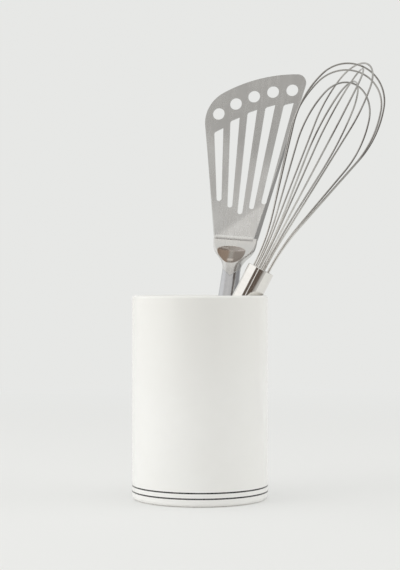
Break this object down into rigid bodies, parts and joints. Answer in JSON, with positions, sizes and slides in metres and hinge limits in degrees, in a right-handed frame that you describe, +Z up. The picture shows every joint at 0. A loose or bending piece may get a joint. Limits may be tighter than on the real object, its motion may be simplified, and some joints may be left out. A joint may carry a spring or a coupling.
{
  "type": "utensil crock",
  "caption": "Straight-sided white-glazed utensil crock with two grey bands at its foot, holding a slotted steel turner and a wire balloon whisk that lift out.",
  "frame": {"origin": "centre of the crock's foot, on the surface it stands on", "axes": "+Z up along the crock's axis; -Y faces the viewer of the picture; +X to the right"},
  "size_m": [0.1789, 0.1076, 0.307],
  "materials": {
    "glaze": "gloss",
    "blade_steel": "satin",
    "handle_steel": "polished",
    "loop_steel": "polished",
    "wire_steel": "polished",
    "plug_resin": "matte"
  },
  "bodies": {
    "crock": {"crock_body": "glaze"},
    "whisk": {"whisk_handle": "handle_steel", "whisk_end_cap": "handle_steel", "whisk_hang_loop": "loop_steel", "whisk_head_plug": "plug_resin", "whisk_wire_1": "wire_steel", "whisk_wire_2": "wire_steel", "whisk_wire_3": "wire_steel", "whisk_wire_4": "wire_steel", "whisk_wire_5": "wire_steel", "whisk_wire_6": "wire_steel"},
    "turner": {"turner_blade": "blade_steel", "turner_handle": "handle_steel", "turner_end_cap": "handle_steel", "turner_hang_loop": "loop_steel"}
  },
  "joints": [
    {"name": "whisk_lift", "type": "slide", "parent": "crock", "child": "whisk", "axis": [0.4594, -0.0241, 0.8879], "range_m": [0, 0.175]},
    {"name": "turner_lift", "type": "slide", "parent": "crock", "child": "turner", "axis": [0.1295, 0.2024, 0.9707], "range_m": [0, 0.15]}
  ]
}
